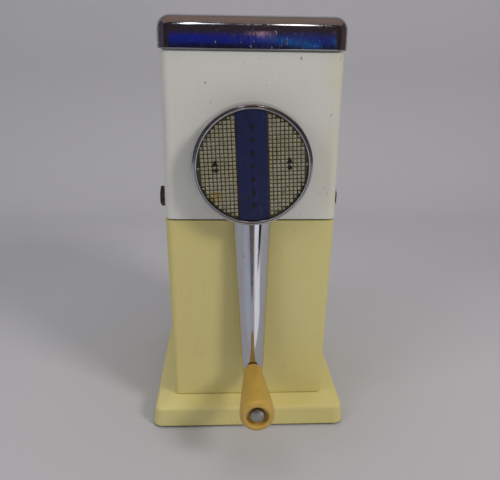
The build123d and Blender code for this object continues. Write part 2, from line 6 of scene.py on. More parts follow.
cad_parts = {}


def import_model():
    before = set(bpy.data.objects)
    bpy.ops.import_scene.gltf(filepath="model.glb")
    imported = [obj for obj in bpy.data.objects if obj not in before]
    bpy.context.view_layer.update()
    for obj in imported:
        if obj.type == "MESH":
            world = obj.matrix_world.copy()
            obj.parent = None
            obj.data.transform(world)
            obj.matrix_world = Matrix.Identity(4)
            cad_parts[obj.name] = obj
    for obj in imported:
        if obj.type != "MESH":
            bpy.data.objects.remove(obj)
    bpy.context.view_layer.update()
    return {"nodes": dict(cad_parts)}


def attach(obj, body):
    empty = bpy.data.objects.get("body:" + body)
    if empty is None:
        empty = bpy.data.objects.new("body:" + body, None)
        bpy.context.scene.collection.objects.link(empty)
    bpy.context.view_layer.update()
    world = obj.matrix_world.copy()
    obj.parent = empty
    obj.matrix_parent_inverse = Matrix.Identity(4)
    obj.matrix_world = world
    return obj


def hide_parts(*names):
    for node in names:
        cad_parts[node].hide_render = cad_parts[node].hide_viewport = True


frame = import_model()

NODES = frame["nodes"]

# ------------------------------------------------------------------ sizes (mm, as in the frame)
HX, HY = 50.0, 57.0
ZAX = 167.1
CL = 124.8
TILT = math.radians(0.8)
CT, ST = math.cos(TILT), math.sin(TILT)


def world(u, v, p):
    """Crank plane to the row frame: u to the right, v up, p forward of the head's front wall, in mm."""
    return Vector((u * CT - v * ST, -HY - p, ZAX + u * ST + v * CT)) * 0.001


# ------------------------------------------------------------------ mesh helpers
def obj_from(name, verts, faces, smooth=True, mats=(), mat_index=None):
    me = bpy.data.meshes.new(name)
    me.from_pydata([tuple(v) for v in verts], [], faces)
    me.validate()
    me.update()
    for m in mats:
        me.materials.append(m)
    if mat_index is not None:
        for poly, i in zip(me.polygons, mat_index):
            poly.material_index = i
    o = bpy.data.objects.new(name, me)
    bpy.context.scene.collection.objects.link(o)
    bm = bmesh.new()
    bm.from_mesh(me)
    bmesh.ops.recalc_face_normals(bm, faces=bm.faces)
    bm.to_mesh(me)
    bm.free()
    if smooth:
        for poly in me.polygons:
            poly.use_smooth = True
    return o


def sharp_by_angle(o, deg=35.0):
    """Smooth shading with sharp edges above an angle."""
    me = o.data
    bm = bmesh.new()
    bm.from_mesh(me)
    lim = math.radians(deg)
    for e in bm.edges:
        if len(e.link_faces) == 2:
            e.smooth = e.calc_face_angle(0.0) < lim
        else:
            e.smooth = False
    for f in bm.faces:
        f.smooth = True
    bm.to_mesh(me)
    bm.free()


def lathe(name, profile, centre, seg=160, close=True, mats=(), deg=35.0):
    """Turns a profile of (radius, p) round a crank-plane axis at (u, v) = centre."""
    cu, cv = centre
    n = len(profile)
    verts, faces = [], []
    for i in range(seg):
        a = 2 * math.pi * i / seg
        ca, sa = math.cos(a), math.sin(a)
        for r, p in profile:
            verts.append(world(cu + r * ca, cv + r * sa, p))
    cols = n if close else n - 1
    for i in range(seg):
        j = (i + 1) % seg
        for k in range(cols):
            l = (k + 1) % n
            a, b, c, d = i * n + k, i * n + l, j * n + l, j * n + k
            faces.append((a, b, c, d))
    o = obj_from(name, verts, faces, mats=mats)
    bm = bmesh.new()
    bm.from_mesh(o.data)
    bmesh.ops.remove_doubles(bm, verts=bm.verts, dist=1e-7)
    bmesh.ops.recalc_face_normals(bm, faces=bm.faces)
    bm.to_mesh(o.data)
    bm.free()
    sharp_by_angle(o, deg)
    return o


def arc(cx, cy, r, a0, a1, n):
    """Points of an arc in a profile, angles in degrees."""
    return [(cx + r * math.cos(math.radians(a0 + (a1 - a0) * i / n)),
             cy + r * math.sin(math.radians(a0 + (a1 - a0) * i / n))) for i in range(n + 1)]


def rrect(hx, hy, r, n, cy=0.0):
    """Rounded rectangle as points, counter-clockwise from +x; each corner has n + 1 points."""
    pts = []
    for sx, sy, a0 in ((1, 1, 0), (-1, 1, 90), (-1, -1, 180), (1, -1, 270)):
        cx, cyy = sx * (hx - r), cy + sy * (hy - r)
        for i in range(n + 1):
            a = math.radians(a0 + 90.0 * i / n)
            pts.append((cx + r * math.cos(a), cyy + r * math.sin(a)))
    return pts


def skin_rings(name, rings, cap_start=True, cap_end=True, mats=(), deg=35.0):
    """Joins rings of equal length, in mm, into a closed skin."""
    n = len(rings[0])
    verts = [Vector(p) * 0.001 for ring in rings for p in ring]
    faces = []
    for i in range(len(rings) - 1):
        for k in range(n):
            l = (k + 1) % n
            faces.append((i * n + k, i * n + l, (i + 1) * n + l, (i + 1) * n + k))
    if cap_start:
        faces.append(tuple(range(n - 1, -1, -1)))
    if cap_end:
        b = (len(rings) - 1) * n
        faces.append(tuple(range(b, b + n)))
    o = obj_from(name, verts, faces, mats=mats)
    sharp_by_angle(o, deg)
    return o


def join(objs, name):
    bpy.ops.object.select_all(action="DESELECT")
    for o in objs:
        o.select_set(True)
    bpy.context.view_layer.objects.active = objs[0]
    bpy.ops.object.join()
    objs[0].name = name
    return objs[0]


# ------------------------------------------------------------------ material helpers
class M:
    """A principled material with short ways to add procedural layers."""

    def __init__(self, name, color=(0.8, 0.8, 0.8), rough=0.5, metal=0.0):
        self.m = bpy.data.materials.new(name)
        self.m.use_nodes = True
        self.nt = self.m.node_tree
        self.n = self.nt.nodes
        self.l = self.nt.links
        self.b = self.n["Principled BSDF"]
        self.b.inputs["Roughness"].default_value = rough
        self.b.inputs["Metallic"].default_value = metal
        self.b.inputs["Base Color"].default_value = (*color, 1)
        self.tc = self.n.new("ShaderNodeTexCoord")
        self.col = None
        self.rgh = None
        self.hgt = None
        self.base = (*color, 1)
        self.r0 = rough

    def vec(self, scale=(1, 1, 1), rot=(0, 0, 0), loc=(0, 0, 0)):
        mp = self.n.new("ShaderNodeMapping")
        mp.inputs["Scale"].default_value = scale
        mp.inputs["Rotation"].default_value = rot
        mp.inputs["Location"].default_value = loc
        self.l.new(self.tc.outputs["Object"], mp.inputs["Vector"])
        return mp.outputs["Vector"]

    def noise(self, scale, detail=3, rough=0.55, vec=None, dist=0.0):
        t = self.n.new("ShaderNodeTexNoise")
        t.inputs["Scale"].default_value = scale
        t.inputs["Detail"].default_value = detail
        t.inputs["Roughness"].default_value = rough
        t.inputs["Distortion"].default_value = dist
        self.l.new(vec if vec is not None else self.tc.outputs["Object"], t.inputs["Vector"])
        return t.outputs["Fac"]

    def voronoi(self, scale, vec=None, feature="F1", rand=1.0):
        t = self.n.new("ShaderNodeTexVoronoi")
        t.feature = feature
        t.inputs["Scale"].default_value = scale
        t.inputs["Randomness"].default_value = rand
        self.l.new(vec if vec is not None else self.tc.outputs["Object"], t.inputs["Vector"])
        return t.outputs["Distance"]

    def ramp(self, fac, stops):
        r = self.n.new("ShaderNodeValToRGB")
        cr = r.color_ramp
        while len(cr.elements) > len(stops):
            cr.elements.remove(cr.elements[-1])
        while len(cr.elements) < len(stops):
            cr.elements.new(0.5)
        for e, (pos, v) in zip(cr.elements, stops):
            e.position = pos
            e.color = (v, v, v, 1) if not isinstance(v, tuple) else (*v, 1)
        self.l.new(fac, r.inputs["Fac"])
        return r.outputs["Color"]

    def range(self, fac, a, b, c=0.0, d=1.0):
        r = self.n.new("ShaderNodeMapRange")
        r.inputs["From Min"].default_value = a
        r.inputs["From Max"].default_value = b
        r.inputs["To Min"].default_value = c
        r.inputs["To Max"].default_value = d
        self.l.new(fac, r.inputs["Value"])
        return r.outputs["Result"]

    def math(self, op, a, b=None, clamp=False):
        m = self.n.new("ShaderNodeMath")
        m.operation = op
        m.use_clamp = clamp
        for i, x in enumerate((a, b)):
            if x is None:
                continue
            if isinstance(x, (int, float)):
                m.inputs[i].default_value = x
            else:
                self.l.new(x, m.inputs[i])
        return m.outputs["Value"]

    def axis(self, i):
        s = self.n.new("ShaderNodeSeparateXYZ")
        self.l.new(self.tc.outputs["Object"], s.inputs["Vector"])
        return s.outputs[i]

    def tint(self, fac, color, strength=1.0):
        """Mixes a colour over what is there, where fac is 1."""
        mx = self.n.new("ShaderNodeMix")
        mx.data_type = "RGBA"
        mx.clamp_factor = True
        if strength != 1.0:
            fac = self.math("MULTIPLY", fac, strength)
        self.l.new(fac, mx.inputs["Factor"])
        if self.col is None:
            mx.inputs["A"].default_value = self.base
        else:
            self.l.new(self.col, mx.inputs["A"])
        mx.inputs["B"].default_value = (*color, 1)
        self.col = mx.outputs["Result"]
        return self

    def roughen(self, fac, amount):
        """Adds amount times fac to the roughness."""
        x = self.math("MULTIPLY", fac, amount)
        self.rgh = self.math("ADD", x, self.r0 if self.rgh is None else self.rgh)
        return self

    def height(self, fac, amount):
        x = self.math("MULTIPLY", fac, amount)
        self.hgt = x if self.hgt is None else self.math("ADD", self.hgt, x)
        return self

    def done(self, bump=0.0, distance=0.001):
        if self.col is not None:
            self.l.new(self.col, self.b.inputs["Base Color"])
        if self.rgh is not None:
            c = self.math("ADD", self.rgh, 0.0, clamp=True)
            self.l.new(c, self.b.inputs["Roughness"])
        if self.hgt is not None and bump > 0:
            bp = self.n.new("ShaderNodeBump")
            bp.inputs["Strength"].default_value = bump
            bp.inputs["Distance"].default_value = distance
            self.l.new(self.hgt, bp.inputs["Height"])
            self.l.new(bp.outputs["Normal"], self.b.inputs["Normal"])
        return self.m


def srgb(r, g, b):
    def f(c):
        c /= 255.0
        return c / 12.92 if c <= 0.04045 else ((c + 0.055) / 1.055) ** 2.4
    return (f(r), f(g), f(b))


def scratches(m, scale, thin, rot, stretch=14.0, loc=(0, 0, 0)):
    """Long thin marks: a noise drawn out along one direction, kept only at its crest."""
    v = m.vec(scale=(1.0, 1.0, 1.0 / stretch), rot=rot, loc=loc)
    a = m.noise(scale, 2, 0.5, vec=v, dist=0.15)
    d = m.math("ABSOLUTE", m.math("SUBTRACT", a, 0.5))
    line = m.range(d, 0.0, thin, 1.0, 0.0)
    area = m.range(m.noise(55, 2, 0.5, vec=m.vec(loc=(loc[0] + 0.3, 0.1, 0.2))), 0.5, 0.62)
    return m.math("MULTIPLY", line, area, clamp=True)


def cream(name, gain=1.0, warm=0.0):
    c = srgb(220, 208, 140)
    m = M(name, tuple(x * gain for x in c), 0.36)
    # slow yellowing in broad patches
    m.tint(m.range(m.noise(14, 3, 0.6), 0.38, 0.66), tuple(x * gain for x in srgb(224, 208, 128)), 0.55 + warm)
    m.tint(m.range(m.noise(9, 2, 0.5, vec=m.vec(loc=(0.4, 0.2, 0.7))), 0.45, 0.7), tuple(x * gain for x in srgb(222, 214, 152)), 0.6)
    # grime in fine specks and along faint scratches
    sp = m.range(m.noise(1500, 2, 0.6), 0.71, 0.76)
    m.tint(sp, srgb(120, 98, 60), 0.35)
    s1 = scratches(m, 420, 0.012, (0.5, 0.2, 0.3))
    s2 = scratches(m, 300, 0.010, (1.1, 0.9, 0.1), loc=(0.2, 0.6, 0.1))
    m.tint(s1, srgb(176, 162, 110), 0.35)
    m.roughen(m.range(m.noise(26, 4, 0.6), 0.3, 0.7), 0.14)
    m.roughen(m.math("MAXIMUM", s1, s2), 0.2)
    m.height(m.noise(190, 2, 0.5), 0.35)
    m.height(m.noise(1900, 2, 0.5), 0.03)
    m.height(m.math("MAXIMUM", s1, s2), -0.05)
    m.b.inputs["IOR"].default_value = 1.5
    m.b.inputs["Subsurface Weight"].default_value = 0.06
    m.b.inputs["Subsurface Radius"].default_value = (0.002, 0.0014, 0.0007)
    return m.done(0.35, 0.0006)


def enamel(name):
    m = M(name, srgb(224, 224, 217), 0.34)
    m.tint(m.range(m.noise(11, 3, 0.55), 0.42, 0.7), srgb(216, 215, 206), 0.7)
    # yellower towards the right hand edge and on the right side, in patches
    x = m.range(m.axis(0), 0.034, 0.050)
    m.tint(m.math("MULTIPLY", x, m.range(m.noise(30, 3, 0.6), 0.35, 0.6)), srgb(223, 212, 172), 0.45)
    # small chips down to dark metal near the right edge, and a few elsewhere
    ch = m.range(m.noise(620, 3, 0.62), 0.665, 0.69)
    z = m.axis(2)
    band = m.math("MULTIPLY", m.range(m.axis(0), 0.0400, 0.0440), m.math("MULTIPLY", m.range(z, 0.139, 0.146), m.range(z, 0.166, 0.160)))
    chips = m.math("MULTIPLY", ch, band, clamp=True)
    few = m.math("MULTIPLY", m.range(m.noise(330, 2, 0.5, vec=m.vec(loc=(0.7, 0.3, 0.9))), 0.735, 0.75), 1.0)
    chips = m.math("MAXIMUM", chips, few)
    m.tint(chips, srgb(84, 76, 66), 0.85)
    s1 = scratches(m, 520, 0.009, (0.3, 0.8, 0.2), loc=(0.9, 0.1, 0.4))
    m.tint(s1, srgb(180, 178, 170), 0.4)
    m.roughen(m.range(m.noise(40, 3, 0.6), 0.3, 0.7), 0.12)
    m.roughen(chips, 0.35)
    m.height(m.noise(260, 2, 0.5), 0.25)
    m.height(m.noise(2200, 2, 0.5), 0.025)
    m.height(chips, -0.12)
    m.b.inputs["IOR"].default_value = 1.52
    m.b.inputs["Coat Weight"].default_value = 0.25
    m.b.inputs["Coat Roughness"].default_value = 0.15
    return m.done(0.3, 0.0006)


def chrome(name, wear=1.0, col=(200, 200, 204), rough=0.07, wave=0.5):
    m = M(name, srgb(*col), rough, 1.0)
    # haze, fine wiping marks and pits
    m.roughen(m.range(m.noise(38, 4, 0.6), 0.45, 0.8), 0.14 * wear)
    s1 = scratches(m, 650, 0.010, (0.25, 0.5, 1.3))
    s2 = scratches(m, 500, 0.010, (1.2, 0.1, 0.6), loc=(0.3, 0.8, 0.2))
    s = m.math("MAXIMUM", s1, s2)
    m.roughen(s, 0.35 * wear)
    m.tint(s, srgb(170, 168, 166), 0.6 * wear)
    pit = m.range(m.noise(1250, 2, 0.6), 0.70, 0.735)
    m.tint(pit, srgb(96, 88, 80), 0.7 * wear)
    m.roughen(pit, 0.4)
    m.height(s, -0.12 * wear)
    m.height(pit, -0.2 * wear)
    m.height(m.noise(60, 2, 0.5), wave)
    return m, s


def chrome_lid():
    m, s = chrome("chrome_lid", 0.55, rough=0.05, wave=0.12)
    # knocks on the lid's front edge, gathered in two patches: dented, rough gouges whose brighter colour is a painted
    # glint
    v = m.vec(scale=(1.0, 1.0, 0.55), rot=(0.0, 0.35, 0.0))
    g = m.range(m.noise(620, 2, 0.55, vec=v), 0.675, 0.70)
    patch = m.range(m.noise(38, 2, 0.5, vec=m.vec(loc=(0.15, 0.0, 0.0))), 0.46, 0.56)
    knock_glint = m.math("MULTIPLY", g, patch, clamp=True)
    # painted glint: the gouges are coloured brighter than the chrome round them
    m.tint(knock_glint, srgb(235, 236, 240), 0.9)
    m.roughen(knock_glint, 0.5)
    m.height(knock_glint, -0.5)
    return m.done(0.30, 0.0004)


def chrome_plain(name, wear=0.6, rough=0.06):
    m, s = chrome(name, wear, rough=rough)
    return m.done(0.2, 0.0003)


def steel(name, col=(150, 150, 148), rough=0.36, dirt=0.4, dirt_col=(70, 58, 44)):
    m = M(name, srgb(*col), rough, 1.0)
    m.tint(m.range(m.noise(300, 3, 0.6), 0.5, 0.72), srgb(*dirt_col), dirt)
    m.roughen(m.range(m.noise(180, 3, 0.6), 0.35, 0.7), 0.22)
    m.height(m.noise(900, 3, 0.6), 0.3)
    return m.done(0.3, 0.0003)


def cast(name):
    m = M(name, srgb(150, 149, 146), 0.45, 1.0)
    m.tint(m.range(m.noise(120, 3, 0.6), 0.45, 0.7), srgb(112, 108, 102), 0.6)
    m.tint(m.range(m.noise(700, 2, 0.5), 0.66, 0.72), srgb(70, 62, 54), 0.5)
    m.roughen(m.noise(200, 3, 0.6), 0.25)
    m.height(m.noise(1400, 3, 0.6), 0.5)
    return m.done(0.5, 0.0004)


def rubber():
    m = M("rubber", srgb(34, 33, 32), 0.75)
    m.tint(m.range(m.noise(240, 3, 0.6), 0.5, 0.7), srgb(70, 68, 64), 0.4)
    m.roughen(m.noise(500, 3, 0.6), 0.15)
    m.height(m.noise(1200, 3, 0.6), 0.5)
    return m.done(0.4, 0.0004)


def amber():
    m = M("amber", srgb(196, 158, 70), 0.34)
    # cloudy streaks along the knob, darker where hands have worn it
    v = m.vec(scale=(1.0, 0.22, 1.0))
    m.tint(m.range(m.noise(120, 3, 0.55, vec=v, dist=0.6), 0.4, 0.68), srgb(208, 172, 88), 0.6)
    m.tint(m.range(m.noise(80, 3, 0.6, vec=m.vec(scale=(1.0, 0.4, 1.0), loc=(0.4, 0.1, 0.7))), 0.5, 0.75), srgb(176, 134, 50), 0.5)
    ring = m.math("MULTIPLY", m.range(m.axis(1), -0.1150, -0.1190), m.range(m.noise(220, 3, 0.6), 0.35, 0.65))
    m.tint(ring, srgb(214, 182, 104), 0.5)
    m.tint(m.range(m.noise(1300, 2, 0.5), 0.72, 0.76), srgb(96, 62, 20), 0.6)
    s1 = scratches(m, 700, 0.012, (0.4, 0.1, 0.9))
    m.roughen(m.range(m.noise(90, 3, 0.6), 0.35, 0.7), 0.16)
    m.roughen(s1, 0.25)
    m.height(m.noise(160, 2, 0.5), 0.4)
    m.height(s1, -0.08)
    m.b.inputs["Subsurface Weight"].default_value = 0.25
    m.b.inputs["Subsurface Radius"].default_value = (0.004, 0.002, 0.0006)
    m.b.inputs["IOR"].default_value = 1.55
    m.b.inputs["Coat Weight"].default_value = 0.12
    m.b.inputs["Coat Roughness"].default_value = 0.2
    return m.done(0.3, 0.0005)


def liner():
    m = M("liner", srgb(212, 208, 194), 0.4)
    m.tint(m.range(m.noise(60, 3, 0.6), 0.45, 0.7), srgb(190, 184, 164), 0.6)
    s1 = scratches(m, 400, 0.014, (0.2, 0.1, 0.1))
    m.tint(s1, srgb(150, 146, 134), 0.4)
    m.roughen(m.noise(90, 3, 0.6), 0.2)
    m.height(m.noise(700, 2, 0.5), 0.2)
    return m.done(0.3, 0.0004)


def bronze():
    m = M("bronze", srgb(164, 126, 70), 0.42, 1.0)
    m.tint(m.range(m.noise(220, 3, 0.6), 0.45, 0.7), srgb(96, 70, 38), 0.6)
    m.roughen(m.noise(300, 3, 0.6), 0.2)
    m.height(m.noise(1800, 3, 0.6), 0.4)
    return m.done(0.4, 0.0003)


def nylon():
    m = M("nylon", srgb(214, 210, 196), 0.5)
    m.tint(m.range(m.noise(260, 3, 0.6), 0.45, 0.7), srgb(176, 168, 142), 0.5)
    m.roughen(m.noise(300, 2, 0.6), 0.15)
    m.height(m.noise(900, 2, 0.5), 0.3)
    return m.done(0.3, 0.0003)


def dial_bump():
    m = M("dial_bump", srgb(196, 194, 168), 0.27, 0.6)
    m.tint(m.range(m.noise(70, 3, 0.6), 0.45, 0.7), srgb(176, 164, 128), 0.6)
    m.tint(m.range(m.noise(500, 3, 0.6), 0.5, 0.7), srgb(120, 108, 84), 0.55)
    # a small yellow stain low on the left
    dx = m.math("ABSOLUTE", m.math("SUBTRACT", m.axis(0), -0.0205))
    dz = m.math("ABSOLUTE", m.math("SUBTRACT", m.axis(2), 0.1505))
    st = m.math("MULTIPLY", m.range(dx, 0.0042, 0.0028), m.range(dz, 0.0032, 0.0022))
    m.tint(st, srgb(190, 160, 66), 0.55)
    m.roughen(m.noise(600, 3, 0.6), 0.2)
    m.height(m.noise(2500, 2, 0.6), 0.4)
    return m.done(0.3, 0.0002)


def dial_groove():
    m = M("dial_groove", srgb(86, 82, 60), 0.5, 0.4)
    m.tint(m.range(m.noise(60, 3, 0.6), 0.42, 0.66), srgb(62, 54, 38), 0.8)
    m.tint(m.range(m.noise(340, 3, 0.6), 0.5, 0.7), srgb(44, 36, 28), 0.7)
    m.roughen(m.noise(500, 3, 0.6), 0.2)
    m.height(m.noise(2500, 2, 0.6), 0.4)
    return m.done(0.3, 0.0002)


def navy():
    m = M("navy", srgb(36, 42, 84), 0.42, 0.35)
    m.tint(m.range(m.noise(90, 3, 0.6), 0.42, 0.68), srgb(30, 36, 62), 0.7)
    s1 = scratches(m, 700, 0.012, (0.2, 0.2, 0.1))
    m.tint(s1, srgb(90, 98, 130), 0.5)
    m.tint(m.range(m.noise(900, 2, 0.5), 0.70, 0.74), srgb(96, 100, 120), 0.5)
    m.roughen(m.range(m.noise(160, 3, 0.6), 0.35, 0.7), 0.2)
    m.height(m.noise(1500, 2, 0.6), 0.3)
    return m.done(0.3, 0.0002)


def black():
    m = M("mark_black", srgb(20, 19, 20), 0.5)
    m.tint(m.range(m.noise(900, 2, 0.6), 0.6, 0.7), srgb(60, 56, 48), 0.6)
    m.roughen(m.noise(700, 2, 0.6), 0.2)
    return m.done()


MAT = {
    "cream_body": cream("cream_body"),
    "cream_base": cream("cream_base", 1.0, 0.1),
    "enamel": enamel("enamel"),
    "lid": chrome_lid(),
    "chrome": chrome_plain("chrome_arm", 0.7, 0.07),
    "chrome_bezel": chrome_plain("chrome_bezel", 0.5, 0.06),
    "steel": steel("plated_steel"),
    "hinge": steel("hinge_steel", (170, 168, 162), 0.28, 0.3),
    "dark": steel("dark_steel", (92, 86, 82), 0.42, 0.6, (52, 40, 34)),
    "cast": cast("cast_alloy"),
    "rubber": rubber(),
    "amber": amber(),
    "liner": liner(),
    "bronze": bronze(),
    "nylon": nylon(),
    "bump": dial_bump(),
    "groove": dial_groove(),
    "navy": navy(),
    "black": black(),
}

CAD_LOOK = {
    "base": "cream_base", "foot_ring": "rubber", "bottom_plate": "steel", "bottom_plate_screws": "steel",
    "rear_column": "cream_body", "column_screws": "steel", "head_shell": "enamel", "head_screws": "steel",
    "crusher_frame": "cast", "hopper": "liner", "front_bearing": "bronze", "rear_bearing": "bronze",
    "fine_comb": "cast", "coarse_comb": "cast", "comb_bolts": "dark", "comb_washers": "dark",
    "hinge_leaf_body": "hinge", "hinge_body_rivets": "hinge", "hinge_pin": "hinge",
    "crank_arm": "chrome", "dial_bezel": "chrome_bezel", "dial_plate": "groove", "dial_stripe": "navy",
    "drive_shaft": "steel", "thrust_washer": "nylon", "shaft_washer": "steel", "shaft_nut": "steel",
    "retaining_ring": "dark", "rotor_blades": "cast", "rotor_spacers": "cast", "knob_spindle": "hinge",
    "knob": "amber", "lid": "lid", "hinge_leaf_lid": "hinge", "hinge_lid_rivets": "hinge", "ice_cup": "cream_body",
}
for node, look in CAD_LOOK.items():
    o = NODES[node]
    if not o.material_slots:
        o.data.materials.append(MAT[look])
    for s in o.material_slots:
        s.material = MAT[look]

# ------------------------------------------------------------------ the dial's embossed plate
DT = math.radians(1.9)


def dworld(u, v, p):
    """Like world(), turned with the dial plate, which sits a little askew in its cup."""
    return world(u * math.cos(DT) - v * math.sin(DT), u * math.sin(DT) + v * math.cos(DT), p)


P_FLOOR, P_TOP, P_BACK = 12.62, 13.36, 11.9
PITCH = 2.2


def build_dial_plate():
    verts, faces, mi = [], [], []
    # disc: floor, rim and back
    seg = 160
    for r, p in ((0.0, P_FLOOR), (30.3, P_FLOOR), (30.3, P_BACK), (0.0, P_BACK)):
        if r == 0.0:
            verts.append(dworld(0, 0, p))
        else:
            for i in range(seg):
                a = 2 * math.pi * i / seg
                verts.append(dworld(r * math.cos(a), r * math.sin(a), p))
    top, bot = 1, 1 + seg
    last = 1 + 2 * seg
    for i in range(seg):
        j = (i + 1) % seg
        faces.append((0, top + i, top + j)); mi.append(1)
        faces.append((top + i, bot + i, bot + j, top + j)); mi.append(1)
        faces.append((bot + i, last, bot + j)); mi.append(1)
    # bumps: truncated pyramids with softened tops, in rows and columns
    n = int(31 / PITCH) + 1
    for iy in range(-n, n + 1):
        for ix in range(-n - 1, n + 1):
            u = (ix + 0.5) * PITCH
            v = iy * PITCH
            if abs(u) < 8.25 + 0.95:
                continue
            if math.hypot(u, v) > 29.75:
                continue
            # hand-pressed irregularity, fixed for each cell
            k = math.sin(ix * 12.9898 + iy * 78.233) * 43758.5453
            k = k - math.floor(k)
            h = P_FLOOR + (P_TOP - P_FLOOR) * (0.86 + 0.14 * k)
            b, m1, t1 = 0.93, 0.72, 0.32
            if math.hypot(u, v) > 28.9:
                b, m1, t1, h = 0.62, 0.5, 0.28, h - 0.1
            base = len(verts)
            levels = ((b, P_FLOOR - 0.04), (m1, P_FLOOR + 0.62 * (h - P_FLOOR)), (t1, h))
            for hw, p in levels:
                for su, sv in ((1, 1), (-1, 1), (-1, -1), (1, -1)):
                    verts.append(dworld(u + su * hw, v + sv * hw, p))
            for lv in range(2):
                for c in range(4):
                    d = (c + 1) % 4
                    faces.append((base + lv * 4 + c, base + lv * 4 + d, base + lv * 4 + 4 + d, base + lv * 4 + 4 + c))
                    mi.append(0)
            faces.append((base + 8, base + 9, base + 10, base + 11)); mi.append(0)
    o = obj_from("dial_grid", verts, faces, smooth=False, mats=(MAT["bump"], MAT["groove"]), mat_index=mi)
    sharp_by_angle(o, 20)
    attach(o, "crank")
    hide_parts("dial_plate")
    return o


def grid_prism(name, outline, p0, p1, mats, edge=0.12):
    """A flat piece with a small bevelled front edge, from a convex outline in the crank plane."""
    cx = sum(a for a, _ in outline) / len(outline)
    cy = sum(b for _, b in outline) / len(outline)

    def shrink(d):
        out = []
        for a, b in outline:
            l = math.hypot(a - cx, b - cy)
            out.append((a - (a - cx) / l * d, b - (b - cy) / l * d))
        return out
    rings = [(outline, p0), (outline, p1 - edge), (shrink(edge), p1)]
    verts, faces = [], []
    n = len(outline)
    for pts, p in rings:
        for a, b in pts:
            verts.append(dworld(a, b, p))
    for lv in range(2):
        for c in range(n):
            d = (c + 1) % n
            faces.append((lv * n + c, lv * n + d, lv * n + n + d, lv * n + n + c))
    faces.append(tuple(range(2 * n, 3 * n)))
    faces.append(tuple(range(n - 1, -1, -1)))
    o = obj_from(name, verts, faces, smooth=False, mats=mats)
    return o


def build_stripe():
    hw, R = 8.2, 30.15
    pts = []
    v1 = math.sqrt(R * R - hw * hw)
    a0 = math.degrees(math.atan2(v1, hw))
    for i in range(21):
        a = math.radians(a0 + (180 - 2 * a0) * i / 20)
        pts.append((R * math.cos(a), R * math.sin(a)))
    for i in range(21):
        a = math.radians(180 + a0 + (180 - 2 * a0) * i / 20)
        pts.append((R * math.cos(a), R * math.sin(a)))
    o = grid_prism("dial_band", pts, P_FLOOR - 0.05, 13.42, (MAT["navy"],), 0.14)
    extra = []
    # plain raised diamonds down the middle
    for i in range(7):
        v = 21.6 - 7.2 * i
        d = 1.45
        out = [(d, v), (0, v + d * 1.5), (-d, v), (0, v - d * 1.5)]
        extra.append(grid_prism("dia", out, 13.3, 13.60, (MAT["black"],), 0.1))
    o = join([o] + extra, "dial_band")
    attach(o, "crank")
    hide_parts("dial_stripe")
    return o


def build_marks():
    parts = []
    for side in (-1, 1):
        u0 = side * 19.8 + (0.4 if side > 0 else -0.6)
        v0 = 1.4
        parts.append(grid_prism("tri", [(u0 - 1.6, v0), (u0 + 1.6, v0), (u0, v0 + 3.1)], P_FLOOR, P_TOP + 0.16, (MAT["black"],), 0.04))
        if side < 0:
            for a in (-1.15, 0.0, 1.15):
                for b in (-2.0, -3.15):
                    out = [(u0 + a + 0.42 * math.cos(k * math.pi / 6), v0 + b + 0.42 * math.sin(k * math.pi / 6)) for k in range(12)]
                    parts.append(grid_prism("dot", out, P_FLOOR, P_TOP + 0.16, (MAT["black"],), 0.04))
        else:
            out = [(u0 + 1.25 * math.cos(k * math.pi / 12), v0 - 2.6 + 1.25 * math.sin(k * math.pi / 12)) for k in range(24)]
            parts.append(grid_prism("dot", out, P_FLOOR, P_TOP + 0.16, (MAT["black"],), 0.04))
    o = join(parts, "dial_marks")
    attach(o, "crank")
    return o


build_dial_plate()
build_stripe()
build_marks()


# ------------------------------------------------------------------ bezel: rolled outer bead, groove and inner bead
def build_bezel():
    prof = [(28.6, 10.6), (32.6, 10.6), (33.0, 10.75)]
    prof += arc(31.95, 12.35, 1.2, -38, 82, 12)      # outer roll
    prof += [(31.95, 13.22), (31.82, 13.12)]
    prof += arc(31.15, 13.3, 0.55, -10, 170, 10)      # inner bead
    prof += [(30.45, 13.0), (30.42, 11.88), (28.6, 11.88)]
    o = lathe("bezel", prof, (0, 0), 200, True, (MAT["chrome_bezel"],), 50)
    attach(o, "crank")
    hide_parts("dial_bezel")
    return o


build_bezel()


# ------------------------------------------------------------------ crank: hub dish and arm
def arm_w(l):
    return 21.5 - (l - 33.0) * 8.7 / 92.0


def arm_f(l):
    return 10.5 + (l - 33.0) * 5.2 / 91.8


def arm_b(l):
    return 3.0 + max(0.0, l - 33.0) * 6.0 / 91.8


